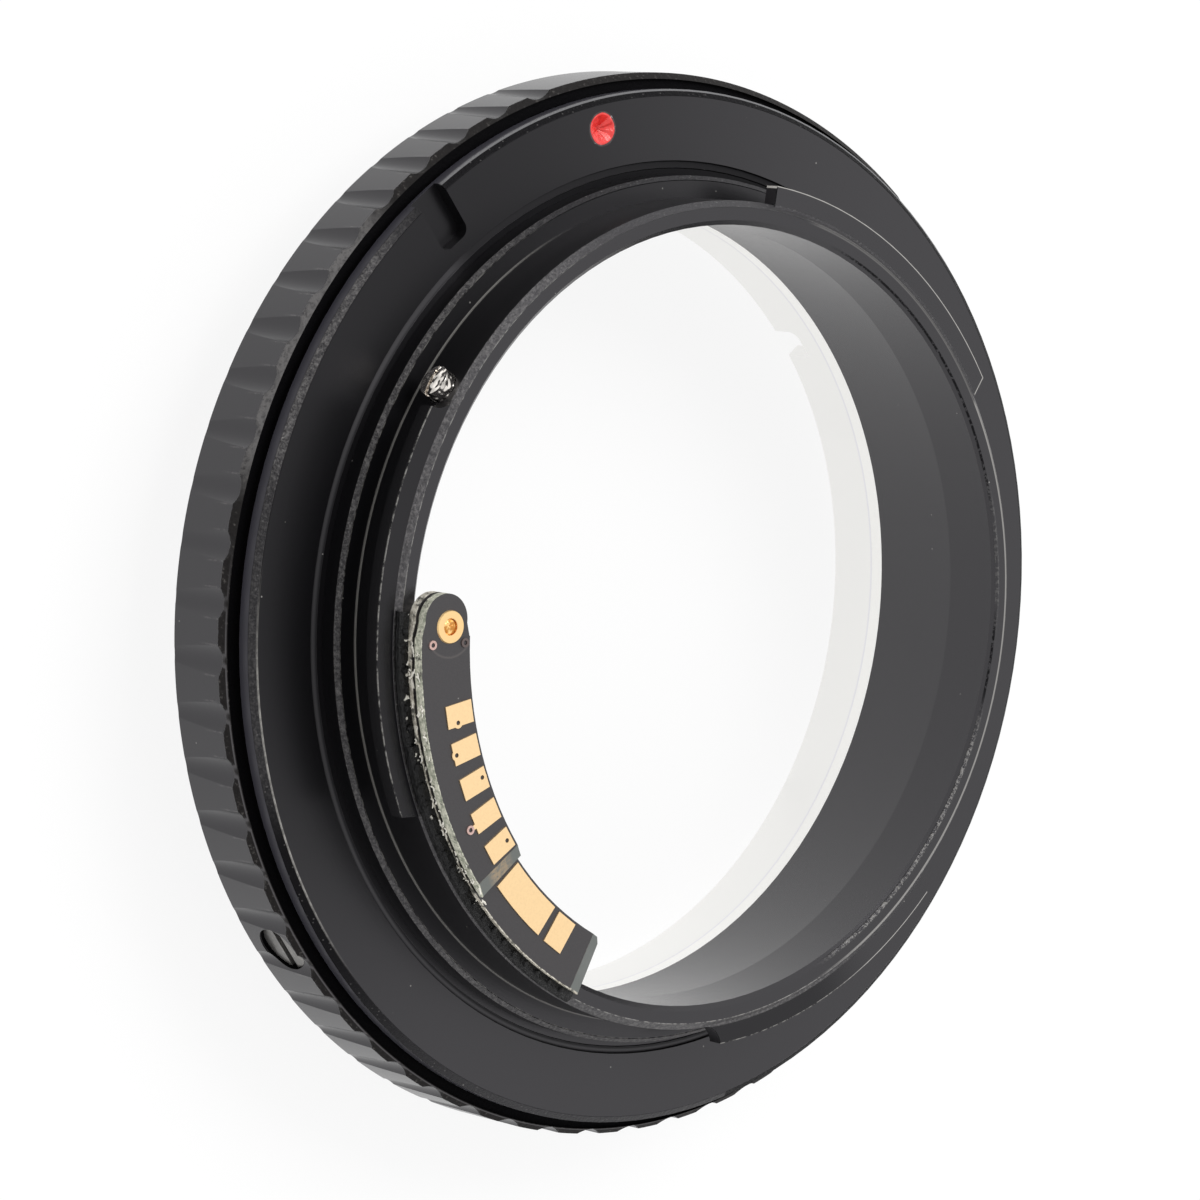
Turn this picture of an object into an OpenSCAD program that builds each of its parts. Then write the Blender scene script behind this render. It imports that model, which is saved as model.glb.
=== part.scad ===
// Adapter that carries a breech-lock lens on a camera with a three-lug bayonet.
// It stands on its lens side: the camera side is up and the index dot lies on +X.
// Angles run anticlockwise from the index dot, seen from the camera side.

/* [Camera flange] */
// Height of the camera flange face above the lens-side rim
flange_z = 10.8; // [10.4:0.1:12.5]
// Step out from the barrel to the flange edge
flange_over = 3.2; // [2.9:0.1:3.8]
// Thickness of the flange
flange_t = 1.15; // [1.05:0.05:1.4]
// Width of the bevel on the flange edge
flange_bevel_w = 0.4; // [0.2:0.05:0.6]
// Height of the bevel on the flange edge
flange_bevel_h = 0.3; // [0.2:0.05:0.5]
// Step out from the neck to the register boss
boss_out = 1.4; // [1.2:0.05:1.6]
// Height of the register boss above the flange face
boss_h = 1.3; // [1:0.1:1.8]
// Bevel on the boss edge
boss_bevel = 0.25; // [0.1:0.05:0.3]
// Width of the relief groove around the boss
groove_w = 0.45; // [0.3:0.05:0.6]
// Depth of the relief groove
groove_d = 0.1; // [0.06:0.01:0.14]
// Width of the turned band outside the groove
band_w = 0.45; // [0.3:0.05:0.6]
// Fall of the turned band towards its outer edge
band_d = 0.14; // [0.08:0.02:0.2]

/* [Bayonet neck] */
// Radius of the light bore in the neck
bore_r = 24.3; // [20:0.1:29]
// Wall of the neck
neck_t = 1.5; // [1.3:0.05:1.8]
// Height of the neck above the flange face
neck_h = 5.15; // [4.9:0.05:5.8]
// Bevel on the outer edge of the neck's top
neck_bevel = 0.38; // [0.2:0.02:0.5]
// Bevel at the mouth of the light bore
bore_bevel = 0.3; // [0.1:0.05:0.5]
// Height above the flange face where the straight bore ends
bore_step_h = 1.1; // [0.6:0.1:1.6]
// Step out from the straight bore to the taper
bore_step_w = 0.1; // [0.05:0.05:0.3]

/* [Bayonet lugs] */
// How far the lugs stand out from the neck
lug_out = 1.2; // [0.9:0.05:1.5]
// Thickness of the lugs
lug_t = 1; // [0.8:0.05:1.3]
// Drop of the lugs' top below the top of the neck
lug_drop = 0.25; // [0:0.05:0.4]
// Start angle of the first lug
lug_1_start_a = -69.4; // [-74:0.2:-64]
// End angle of the first lug
lug_1_end_a = -20.4; // [-26:0.2:-16]
// Start angle of the second lug
lug_2_start_a = 171.2; // [166:0.2:176]
// End angle of the second lug
lug_2_end_a = 213.8; // [208:0.2:218]
// Start angle of the third lug, beside the stop screw
lug_3_start_a = 47.9; // [47.4:0.1:52]
// End angle of the third lug
lug_3_end_a = 101.4; // [96:0.2:106]
// Angle by which a slanted lug end leans outwards at its root
lug_slant = 1.2; // [0.4:0.2:2]
// Radius of the cutter that shapes the milled lug ends
mill_r = 1.5; // [1.2:0.05:1.7]
// Angle from a milled lug end back to the cutter's centre
mill_back = 3.2; // [2.4:0.1:3.6]
// Distance of the cutter's centre outside the lug radius
mill_out = 0.2; // [0:0.05:0.4]

/* [Stop screw and lock slot] */
// Angle of the stop screw
stop_a = 43.8; // [42:0.2:44.4]
// Height of the stop screw above the flange face
stop_h = 3.4; // [3:0.1:3.6]
// Radius of the stop screw's head
stop_head_r = 1; // [0.8:0.05:1.1]
// How far the stop screw's head stands out from the neck
stop_out = 1; // [0.7:0.1:1.1]
// Radius of the stop screw's thread
stop_thread_r = 0.6; // [0.4:0.05:0.7]
// Width of the stop screw's slot
stop_slot_w = 0.26; // [0.2:0.02:0.4]
// Height of the dome on the stop screw's head
stop_dome = 0.16; // [0.1:0.02:0.25]
// Angle of the lock slot in the flange
lock_a = 25.6; // [23:0.2:28]
// Width of the lock slot
lock_w = 2.3; // [2:0.1:2.8]
// Length of the lock slot in from the flange edge
lock_l = 3.55; // [3:0.05:4]
// Depth of the lock slot
lock_d = 0.85; // [0.6:0.05:1.2]
// Corner radius at the closed end of the lock slot
lock_corner = 0.6; // [0.3:0.05:0.9]
// Distance of the index dot in from the flange edge
dot_in = 1.9; // [1.7:0.1:2.6]
// Radius of the index dot
dot_r = 1.08; // [0.8:0.02:1.2]
// Thickness of the paint in the index dimples
paint_t = 0.12; // [0.06:0.02:0.2]

/* [Barrel] */
// Distance of the barrel's rear end below the flange face
barrel_drop = 6.35; // [6:0.05:6.8]
// Wall of the barrel
barrel_t = 4; // [3.7:0.1:4.4]

/* [Grip ring] */
// Distance of the grip ring's front below the flange face
grip_drop = 1.5; // [1:0.1:1.7]
// Gap between the flange edge and the grip ring
grip_gap = 0.42; // [0.3:0.02:0.54]
// Wall left in the front rim under the flutes
rim_wall = 0.16; // [0.12:0.02:0.4]
// Depth of the front recess below the flange's back
recess_gap = 0.65; // [0.6:0.05:0.7]
// Number of flutes around the grip
flute_count = 62; // [54:1:72]
// Depth of a flute at the grip's front
flute_d = 0.42; // [0.3:0.02:0.55]
// Depth to which a flute falls at the grip's rear
flute_rear_d = 0.1; // [0.06:0.02:0.3]
// Radius of a flute
flute_r = 1.4; // [1.2:0.1:1.7]
// Angle of the first flute
flute_a = 5.4; // [0:0.1:5.8]
// Bevel on the rear edge of the grip
grip_bevel = 0.25; // [0.1:0.05:0.4]

/* [Drive ring and set screws] */
// Running clearance between the barrel and the drive ring
run_fit = 0.05; // [0.03:0.01:0.08]
// Clearance between the drive ring and the grip ring
seat_fit = 0.02; // [0.01:0.01:0.04]
// End float of the drive ring on the barrel
float_z = 0.1; // [0.06:0.01:0.15]
// Radial thickness of the drive ring
drive_t = 2.25; // [2.1:0.05:2.4]
// Angle of the first set screw
set_a = 114; // [111:0.1:116]
// Distance of the set screws below the flange face
set_drop = 3.5; // [3.45:0.05:4]
// Radius of the set screws
set_r = 1.6; // [1.3:0.05:1.65]
// Bevel at the mouth of a set screw's hole
set_bevel = 0.12; // [0.05:0.01:0.2]
// Depth of a set screw's face below the grip's outside
set_sunk = 0.36; // [0.32:0.02:0.5]
// Width of a set screw's slot
set_slot_w = 0.55; // [0.3:0.05:0.7]
// Depth of a set screw's slot
set_slot_d = 0.5; // [0.3:0.05:0.6]
// Radius of the dog point on a set screw
dog_r = 1; // [0.8:0.05:1.1]
// Length of the dog point on a set screw
dog_l = 0.6; // [0.4:0.05:0.8]
// Clearance of a thread in its hole
thread_fit = 0.02; // [0.01:0.01:0.04]

/* [Aperture lever] */
// Angle of the lever with the grip at rest
lever_a = 64; // [60:1:70]
// Turn of the grip from rest to its stop
lever_turn = 30; // [26:1:34]
// Width of the lever
lever_w = 3; // [2.4:0.1:3.6]
// Thickness of the lever strip
lever_t = 0.6; // [0.4:0.05:0.7]
// Clearance between the lever's upright leg and the throat
lever_clear = 0.3; // [0.2:0.05:0.35]
// Height of the lever's tip above the lens-side rim
lever_tip_z = 0.9; // [0.5:0.1:1.6]
// Clearance around the lever in the barrel
lever_gap = 0.2; // [0.15:0.05:0.3]
// Radius of the lever screw's head
lever_head_r = 0.95; // [0.8:0.05:1]
// Radius of the lever screw's thread
lever_thread_r = 0.5; // [0.4:0.05:0.6]
// Length of the lever screw
lever_screw_l = 2.4; // [1.8:0.1:2.8]

/* [Lens-side ring] */
// Step out from the light bore to the lens throat
throat_out = 1; // [0.9:0.05:1.2]
// Wall of the lens-side neck
neck_wall = 1; // [0.8:0.05:1.2]
// Thickness of the ring's plate
plate_t = 1; // [0.8:0.05:1.2]
// Step out from the barrel to the edge of the ring's plate
plate_over = 2.1; // [1.7:0.1:2.3]
// How far the lens lugs stand out from their neck
lens_lug_out = 2; // [1.7:0.1:2.4]
// Thickness of the lens lugs
lens_lug_t = 1.2; // [1:0.05:1.4]
// Angle covered by each lens lug
lens_lug_w = 57; // [50:1:62]
// Angle of the first lens lug's middle
lens_lug_a = -2.9; // [-5:0.1:0]
// Angle of the notch in the rear rim
notch_a = -62.9; // [-64:0.1:-61]
// Width of the notch
notch_w = 2.05; // [1.6:0.05:2.6]
// Height of the notch
notch_h = 1.9; // [1.4:0.1:2]
// Radius of the notch's rounded corner
notch_corner = 0.7; // [0.3:0.05:0.8]
// Radius of the ring screws' heads
ring_head_r = 1.3; // [1.1:0.05:1.4]
// Radius of the ring screws' threads
ring_thread_r = 0.75; // [0.6:0.05:0.8]
// Length of the ring screws
ring_screw_l = 4; // [3:0.1:4.5]
// Distance of the lens-side dot in from the plate's edge
lens_dot_in = 1.4; // [1.2:0.1:1.6]
// Radius of the lens-side dot
lens_dot_r = 0.8; // [0.6:0.05:1]

/* [Contact boards] */
// Width of the boards, from their inner to their outer edge
board_w = 3.7; // [3.4:0.1:4]
// Distance of the boards' outer edge in from the outside of the neck
board_edge = 0.7; // [0.6:0.05:0.9]
// Radius of the boards' round end
round_r = 1.6; // [1.4:0.05:1.7]
// Distance of the round end's centre beyond the eyelet
round_past = 0.38; // [0.2:0.02:0.6]
// Angle past the eyelet where the boards reach their full width
taper_a = 1.5; // [1:0.1:2]
// Thickness of a board
board_t = 0.6; // [0.5:0.05:0.8]
// Thickness of the bond between the boards
bond_t = 0.3; // [0.2:0.05:0.4]
// Inset of the bond from the boards' edges
bond_in = 0.2; // [0.1:0.05:0.35]
// End angle of the lower board
lower_end_a = 142; // [140:0.5:146]
// Angle of the eyelet and the boards' round end
eyelet_a = 76.3; // [76:0.1:77]
// End angle of the upper board
upper_end_a = 116.8; // [116:0.1:117]
// Angle covered by the bevelled end of a board
bevel_a = 2.5; // [1.8:0.1:2.8]
// Thickness left at the tip of a bevelled end
bevel_tip = 0.2; // [0.1:0.05:0.3]
// Corner cut from the inner end of the lower board
end_corner = 0.35; // [0.2:0.05:0.5]

/* [Contacts] */
// Angle of the first contact pad
pad_a = 89.6; // [89:0.1:90]
// Angle from one contact pad to the next
pad_pitch = 5.6; // [5.4:0.1:5.7]
// Width of a contact pad
pad_w = 1.38; // [1.1:0.02:1.6]
// Length of a contact pad
pad_l = 1.95; // [1.6:0.05:2.1]
// Distance of the pads from the boards' inner edge
pad_in = 0.17; // [0.1:0.01:0.4]
// Thickness of the pads' plating
pad_t = 0.08; // [0.05:0.01:0.12]
// Radius of a plated hole
via_r = 0.14; // [0.08:0.02:0.2]
// Width of the ring around a plated hole
via_w = 0.14; // [0.08:0.02:0.2]
// Width of the plating around a hole in a pad
hole_rim = 0.2; // [0.12:0.02:0.24]
// Start angle of the wide pad on the lower board
wide_start_a = 118.2; // [117.8:0.1:119]
// End angle of the wide pad
wide_end_a = 129.5; // [127:0.1:130]
// Angle of the last pad on the lower board
end_pad_a = 132.9; // [132.2:0.1:134]
// Width of the last pad
end_pad_w = 1.6; // [1.4:0.05:1.8]
// Distance of the eyelet from the boards' inner edge
eyelet_in = 1.55; // [1.4:0.05:1.8]
// Outer radius of the eyelet's rim
eyelet_rim_r = 1; // [0.8:0.05:1.1]
// Radius of the eyelet's hole
eyelet_hole_r = 0.5; // [0.4:0.05:0.6]
// Wall of the eyelet's barrel
eyelet_wall = 0.12; // [0.08:0.02:0.16]
// Thickness of the eyelet's rim
eyelet_rim_t = 0.1; // [0.06:0.02:0.16]

/* [Glue] */
// Height of the glue along the middle of the boards
glue_h = 0.5; // [0.4:0.05:0.6]
// Height of the glue towards the boards' ends
glue_low_h = 0.3; // [0.25:0.05:0.4]
// Angle where the glue becomes higher
glue_rise_a = 93; // [90:0.5:98]
// Angle between lumps in the glue
lump_a = 2.6; // [2.2:0.1:4]
// Radius of a lump in the glue
lump_r = 0.27; // [0.24:0.01:0.3]
// Angle by which the glue stops short of a board's end
glue_short_a = 1; // [0.6:0.1:2]
// Angle by which the glue starts before the eyelet
glue_lead_a = 1.8; // [1:0.1:2.4]

/* [Hidden] */
$fn = 96;
cut = 0.5;
barrel_z = flange_z - barrel_drop;
neck_top = flange_z + neck_h;
neck_r = bore_r + neck_t;
boss_r = neck_r + boss_out;
lug_r = neck_r + lug_out;
throat_r = bore_r + throat_out;
barrel_r = throat_r + barrel_t;
flange_r = barrel_r + flange_over;
lock_r = flange_r - lock_l;
dot_at = flange_r - dot_in;
lug_top = neck_top - lug_drop;
lug_z = lug_top - lug_t;
flange_back = flange_z - flange_t;
drive_in_r = barrel_r + run_fit;
drive_r = drive_in_r + drive_t;
drive_z = barrel_z + float_z;
drive_top = flange_back - float_z;
grip_in_r = drive_r + seat_fit;
recess_r = flange_r + grip_gap;
grip_r = recess_r + rim_wall + flute_d;
grip_top = flange_z - grip_drop;
recess_z = flange_back - recess_gap;
set_z = flange_z - set_drop;
set_face_r = grip_r - set_sunk;
plate_z = barrel_z - plate_t;
neck_out_r = throat_r + neck_wall;
lens_lug_r = neck_out_r + lens_lug_out;
plate_r = barrel_r + plate_over;
ring_screw_at = (neck_out_r + barrel_r) / 2;
lens_dot_at = plate_r - lens_dot_in;
lens_gap_a = lens_lug_a - 60;
lever_z = drive_z + lever_gap / 2;
lever_in = throat_r - lever_clear - lever_t;
lever_foot_r = drive_r - lever_clear;
lever_screw_at = (drive_in_r + lever_foot_r) / 2;
lower_z = neck_top;
bond_z = lower_z + board_t;
upper_z = bond_z + bond_t;
pads_z = upper_z + board_t;
board_out_r = neck_r - board_edge;
board_in_r = board_out_r - board_w;
round_at = board_in_r + board_w / 2;
pad_at = board_in_r + pad_in + pad_l / 2;
eyelet_at = board_in_r + eyelet_in;
hole_out = [0.2, 0.75, -0.65, 0, -0.6];
hole_side = [0.47, 0.08, -0.08, 0, 0.08];
tab_out = 0.42;
tab_side = 0.14;
mill_at = lug_r + mill_out;

// A ring between two radii and two heights.
module ring(r_in, r_out, z0, z1) {
    rotate_extrude() translate([r_in, z0]) square([r_out - r_in, z1 - z0]);
}

// A wedge about the axis whose straight sides pass through one angle at each of two radii.
module wedge(a0_in, a0_out, a1_in, a1_out, r_in, r_out, z0, z1) {
    function at(r, a) = [r * cos(a), r * sin(a)];
    function on_line(p, q, t) = p + (q - p) * t;
    crown = [for (t = [0.2:0.2:0.8]) at(r_out + 4, a0_out + t * (a1_out - a0_out))];
    start = [for (t = [-1.5, 3]) on_line(at(r_in, a0_in), at(r_out, a0_out), t)];
    end = [for (t = [3, -1.5]) on_line(at(r_in, a1_in), at(r_out, a1_out), t)];
    translate([0, 0, z0]) linear_extrude(z1 - z0) polygon(concat(start, crown, end));
}

// A part of a ring between two angles, ended by radial faces.
module sector(r_in, r_out, a0, a1, z0, z1) {
    rotate([0, 0, a0])
        rotate_extrude(angle = a1 - a0)
            translate([r_in, z0])
                square([r_out - r_in, z1 - z0]);
}

// Places its children on the radius at an angle, with their +Z pointing outwards.
module outward(a, r, z) {
    rotate([0, 0, a]) translate([r, 0, z]) rotate([0, 90, 0]) children();
}

// Section of the turned body: flange, boss, neck, bore and barrel.
module body_profile() {
    polygon([
        [throat_r, barrel_z],
        [barrel_r, barrel_z],
        [barrel_r, flange_back],
        [flange_r, flange_back],
        [flange_r, flange_z - flange_bevel_h],
        [flange_r - flange_bevel_w, flange_z],
        [boss_r + groove_w + band_w, flange_z],
        [boss_r + groove_w + band_w - 0.03, flange_z - band_d],
        [boss_r + groove_w, flange_z],
        [boss_r + groove_w - 0.05, flange_z - groove_d],
        [boss_r, flange_z - groove_d],
        [boss_r, flange_z + boss_h - boss_bevel],
        [boss_r - boss_bevel, flange_z + boss_h],
        [neck_r, flange_z + boss_h],
        [neck_r, neck_top - neck_bevel],
        [neck_r - neck_bevel, neck_top],
        [bore_r + bore_bevel, neck_top],
        [bore_r, neck_top - bore_bevel],
        [bore_r, flange_z + bore_step_h],
        [bore_r + bore_step_w, flange_z + bore_step_h - bore_step_w]
    ]);
}

// One bayonet lug. The slants lean each end outwards at its root.
module lug(a0, a1, slant_0, slant_1) {
    intersection() {
        ring(neck_r - cut, lug_r, lug_z, lug_top);
        wedge(a0 - slant_0, a0, a1 + slant_1, a1, neck_r, lug_r, lug_z - cut, lug_top + cut);
    }
}

// A lug whose start is milled to a hollow by a round cutter.
module milled_lug(a0, a1) {
    centre = a0 - mill_back;
    difference() {
        lug(centre, a1, 0, lug_slant);
        rotate([0, 0, centre])
            translate([mill_at, 0, lug_z - cut])
                cylinder(r = mill_r, h = lug_t + 2 * cut);
    }
}

// The slot in the flange that the camera's lock pin enters.
module lock_slot() {
    floor_z = flange_z - lock_d;
    tall = lock_d + cut;
    rotate([0, 0, lock_a]) translate([0, 0, floor_z]) {
        translate([lock_r + lock_corner, -lock_w / 2, 0])
            cube([flange_r - lock_r, lock_w, tall]);
        translate([lock_r, lock_corner - lock_w / 2, 0])
            cube([lock_corner + cut, lock_w - 2 * lock_corner, tall]);
        for (side = [-1, 1])
            translate([lock_r + lock_corner, side * (lock_w / 2 - lock_corner), 0])
                cylinder(r = lock_corner, h = tall);
    }
}

// The cone of a painted index dimple, opening upwards from its point.
module dimple(r) {
    translate([0, 0, -r * 0.6]) cylinder(r1 = 0, r2 = r, h = r * 0.6);
}

// The blind holes for the screws that hold the lens-side ring.
module ring_screw_holes() {
    for (i = [0:2])
        rotate([0, 0, lens_gap_a + 120 * i])
            translate([ring_screw_at, 0, plate_z - cut])
                cylinder(r = ring_thread_r + thread_fit, h = ring_screw_l + cut + 0.2);
}

// The arc window in the barrel's rear end that the lever swings in.
module lever_window() {
    half = asin((lever_w / 2 + lever_gap) / throat_r);
    sector(bore_r - 2, barrel_r + cut, lever_a - half, lever_a + lever_turn + half,
        barrel_z - cut, lever_z + lever_t + lever_gap);
}

module mount_body() {
    color([0.13, 0.13, 0.14])
        difference() {
            union() {
                rotate_extrude() body_profile();
                lug(lug_1_start_a, lug_1_end_a, lug_slant, 0);
                milled_lug(lug_2_start_a, lug_2_end_a);
                milled_lug(lug_3_start_a, lug_3_end_a);
            }
            lock_slot();
            translate([dot_at, 0, flange_z]) dimple(dot_r);
            outward(stop_a, bore_r - cut, flange_z + stop_h)
                cylinder(r = stop_thread_r + thread_fit, h = neck_r - bore_r + 2 * cut);
            outward(stop_a, neck_r - 0.08, flange_z + stop_h)
                cylinder(r = stop_head_r + 0.06, h = stop_out + cut);
            ring_screw_holes();
            lever_window();
        }
}

// Slotted screw in the neck wall that stops the turn on the camera.
module stop_screw() {
    seat_r = neck_r - 0.08;
    head_h = stop_out + 0.08;
    dome_r = (pow(stop_head_r, 2) + pow(stop_dome, 2)) / (2 * stop_dome);
    color([0.75, 0.74, 0.70])
        outward(stop_a, seat_r, flange_z + stop_h)
            difference() {
                union() {
                    intersection() {
                        cylinder(r = stop_head_r, h = head_h);
                        translate([0, 0, head_h - dome_r]) sphere(r = dome_r);
                    }
                    translate([0, 0, bore_r + 0.15 - seat_r])
                        cylinder(r = stop_thread_r, h = seat_r - bore_r);
                }
                translate([-stop_slot_w / 2, -stop_head_r - cut, head_h - 0.4])
                    cube([stop_slot_w, 2 * stop_head_r + 2 * cut, 1]);
            }
}

// Red paint that lines a dimple.
module paint_cone(r) {
    difference() {
        dimple(r);
        translate([0, 0, paint_t]) dimple(r);
    }
}

module index_dot() {
    color([0.75, 0.08, 0.06]) translate([dot_at, 0, flange_z]) paint_cone(dot_r);
}

// The flutes, milled at a lean so that they grow shallow towards the grip's rear.
module flutes() {
    tall = grip_top - drive_z;
    lean = atan((flute_d - flute_rear_d) / tall);
    for (i = [0:flute_count - 1])
        rotate([0, 0, flute_a + i * 360 / flute_count])
            translate([grip_r - flute_d + flute_r, 0, grip_top])
                rotate([0, -lean, 0])
                    translate([0, 0, -tall - cut])
                        cylinder(r = flute_r, h = tall + 2 * cut, $fn = 48);
}

module grip_ring() {
    color([0.12, 0.12, 0.13])
        difference() {
            rotate_extrude()
                polygon([
                    [grip_in_r, drive_z],
                    [grip_r - grip_bevel, drive_z],
                    [grip_r, drive_z + grip_bevel],
                    [grip_r, grip_top],
                    [recess_r, grip_top],
                    [recess_r, recess_z],
                    [grip_in_r, recess_z]
                ]);
            flutes();
            for (i = [0:2])
                outward(set_a + 120 * i, grip_in_r - cut, set_z) {
                    cylinder(r = set_r + thread_fit, h = grip_r - grip_in_r + 2 * cut);
                    translate([0, 0, grip_r - grip_in_r + cut - set_bevel])
                        cylinder(r1 = set_r, r2 = set_r + 2 * set_bevel, h = 2 * set_bevel);
                }
        }
}

// Slotted grub screw with a dog point that keys the grip to the drive ring.
module set_screw(i) {
    color([0.10, 0.10, 0.11])
        outward(set_a + 120 * i, drive_r + seat_fit, set_z)
            difference() {
                union() {
                    cylinder(r = set_r, h = set_face_r - drive_r - seat_fit);
                    translate([0, 0, -seat_fit - dog_l]) cylinder(r = dog_r, h = dog_l + 2 * seat_fit);
                }
                translate([-set_slot_w / 2, -set_r - cut, set_face_r - drive_r - seat_fit - set_slot_d])
                    cube([set_slot_w, 2 * set_r + 2 * cut, set_slot_d + cut]);
            }
}

module drive_ring() {
    color([0.55, 0.53, 0.48])
        difference() {
            ring(drive_in_r, drive_r, drive_z, drive_top);
            for (i = [0:2])
                outward(set_a + 120 * i, drive_r - dog_l - 0.05, set_z)
                    cylinder(r = dog_r + thread_fit, h = dog_l + cut);
            rotate([0, 0, lever_a]) translate([0, 0, drive_z - cut]) {
                translate([drive_in_r - 1, -lever_w / 2 - 0.05, 0])
                    cube([lever_foot_r + 0.05 - drive_in_r + 1, lever_w + 0.1,
                        lever_z + lever_t - drive_z + cut]);
                translate([lever_screw_at, 0, 0])
                    cylinder(r = lever_thread_r + thread_fit, h = lever_screw_l + 1);
            }
        }
}

// Bent strip: a flat foot in the drive ring and a leg down the throat.
module aperture_lever() {
    color([0.62, 0.62, 0.60])
        difference() {
            rotate([0, 0, lever_a])
                translate([0, lever_w / 2, 0])
                    rotate([90, 0, 0])
                        linear_extrude(lever_w) {
                            translate([lever_in + lever_t, lever_z])
                                square([lever_foot_r - lever_in - lever_t, lever_t]);
                            translate([lever_in, lever_tip_z])
                                square([lever_t, lever_z - lever_tip_z]);
                            intersection() {
                                translate([lever_in, lever_z]) square(lever_t);
                                translate([lever_in + lever_t, lever_z]) circle(r = lever_t);
                            }
                        }
            rotate([0, 0, lever_a]) translate([lever_screw_at, 0, lever_z]) lever_countersink();
        }
}

// The tapered seat of the lever screw's head, through the strip.
module lever_countersink() {
    translate([0, 0, -0.01])
        cylinder(r1 = lever_head_r + 0.01, r2 = lever_thread_r + thread_fit, h = lever_t * 0.7 + 0.01);
    cylinder(r = lever_thread_r + thread_fit, h = lever_t + cut);
}

module lever_screw() {
    color([0.70, 0.70, 0.68])
        rotate([0, 0, lever_a])
            translate([lever_screw_at, 0, lever_z])
                difference() {
                    union() {
                        cylinder(r1 = lever_head_r, r2 = lever_thread_r, h = lever_t * 0.7);
                        cylinder(r = lever_thread_r, h = lever_screw_l);
                    }
                    translate([-lever_head_r - cut, -0.12, -cut])
                        cube([2 * lever_head_r + 2 * cut, 0.24, cut + 0.2]);
                }
}

// A lug of the lens-side breech, on the outside of its short neck.
module lens_lug(i) {
    mid = lens_lug_a + 120 * i;
    sector(neck_out_r - 0.3, lens_lug_r, mid - lens_lug_w / 2, mid + lens_lug_w / 2, 0, lens_lug_t);
}

// The notch in the rear rim, with one rounded corner.
module notch() {
    deep = neck_wall + 2 * cut;
    rotate([0, 0, notch_a]) translate([throat_r - cut, -notch_w / 2, 0]) {
        translate([0, 0, -cut]) cube([deep, notch_w, notch_h - notch_corner + cut]);
        translate([0, 0, -cut]) cube([deep, notch_w - notch_corner, notch_h + cut]);
        translate([0, notch_w - notch_corner, notch_h - notch_corner])
            rotate([0, 90, 0])
                cylinder(r = notch_corner, h = deep);
    }
}

module lens_mount_ring() {
    color([0.84, 0.83, 0.80])
        difference() {
            union() {
                rotate_extrude()
                    polygon([
                        [throat_r, 0],
                        [neck_out_r, 0],
                        [neck_out_r, plate_z],
                        [plate_r - 0.2, plate_z],
                        [plate_r, plate_z + 0.2],
                        [plate_r, barrel_z],
                        [throat_r, barrel_z]
                    ]);
                for (i = [0:2]) lens_lug(i);
            }
            notch();
            for (i = [0:2])
                rotate([0, 0, lens_gap_a + 120 * i])
                    translate([ring_screw_at, 0, plate_z]) ring_countersink();
            rotate([0, 0, lens_gap_a + 120]) translate([lens_dot_at, 0, plate_z])
                mirror([0, 0, 1]) dimple(lens_dot_r);
        }
}

// The tapered seat of a ring screw's head and the hole behind it.
module ring_countersink() {
    translate([0, 0, -0.01])
        cylinder(r1 = ring_head_r + 0.01, r2 = ring_thread_r + thread_fit, h = plate_t * 0.7 + 0.01);
    cylinder(r = ring_thread_r + thread_fit, h = plate_t + cut);
}

// Countersunk cross-head screw from the lens side into the barrel.
module ring_screw(i) {
    color([0.70, 0.70, 0.68])
        rotate([0, 0, lens_gap_a + 120 * i])
            translate([ring_screw_at, 0, plate_z])
                difference() {
                    union() {
                        cylinder(r1 = ring_head_r, r2 = ring_thread_r, h = plate_t * 0.7);
                        cylinder(r = ring_thread_r, h = ring_screw_l);
                    }
                    for (turn = [0, 90])
                        rotate([0, 0, turn])
                            translate([-ring_head_r * 0.6, -0.15, -cut])
                                cube([ring_head_r * 1.2, 0.3, cut + 0.5]);
                }
}

module lens_index_dot() {
    color([0.75, 0.08, 0.06])
        rotate([0, 0, lens_gap_a + 120])
            translate([lens_dot_at, 0, plate_z])
                mirror([0, 0, 1]) paint_cone(lens_dot_r);
}

// A plane cut that bevels the far end of a board down to its tip.
module end_bevel(a_end, z) {
    run = board_out_r * sin(bevel_a);
    fall = atan((board_t - bevel_tip) / run);
    rotate([0, 0, a_end - bevel_a])
        translate([board_in_r - cut, 0, z + board_t])
            rotate([-fall, 0, 0])
                translate([0, -run, 0])
                    cube([board_out_r - board_in_r + 2 * cut, 3 * run, 2 * board_t]);
}

module lower_board() {
    color([0.22, 0.21, 0.21])
        difference() {
            round_board(0, lower_end_a, lower_z, bond_z);
            end_bevel(lower_end_a, lower_z);
            rotate([0, 0, lower_end_a - 45])
                translate([(board_in_r + end_corner) / sqrt(2) - 2, board_in_r / sqrt(2) - 1, lower_z - cut])
                    cube([2, 2, board_t + 2 * cut]);
            eyelet_hole(lower_z, bond_z);
        }
}

// Outline of a board, inset by a margin, tapered to a round end past the eyelet.
module round_board(inset, a_end, z0, z1) {
    inner = board_in_r + inset;
    outer = board_out_r - inset;
    half = round_r - inset - 0.05;
    joint_a = taper_a + 0.2;
    sector(inner, outer, eyelet_a + taper_a, a_end - inset * 3, z0, z1);
    rotate([0, 0, eyelet_a]) translate([0, 0, z0]) {
        linear_extrude(z1 - z0)
            polygon([
                [round_at - half, -round_past],
                [round_at + half, -round_past],
                [(outer - 0.02) * cos(joint_a), (outer - 0.02) * sin(joint_a)],
                [(inner + 0.02) * cos(joint_a), (inner + 0.02) * sin(joint_a)]
            ]);
        translate([round_at, -round_past, 0]) cylinder(r = round_r - inset, h = z1 - z0);
    }
}

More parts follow.
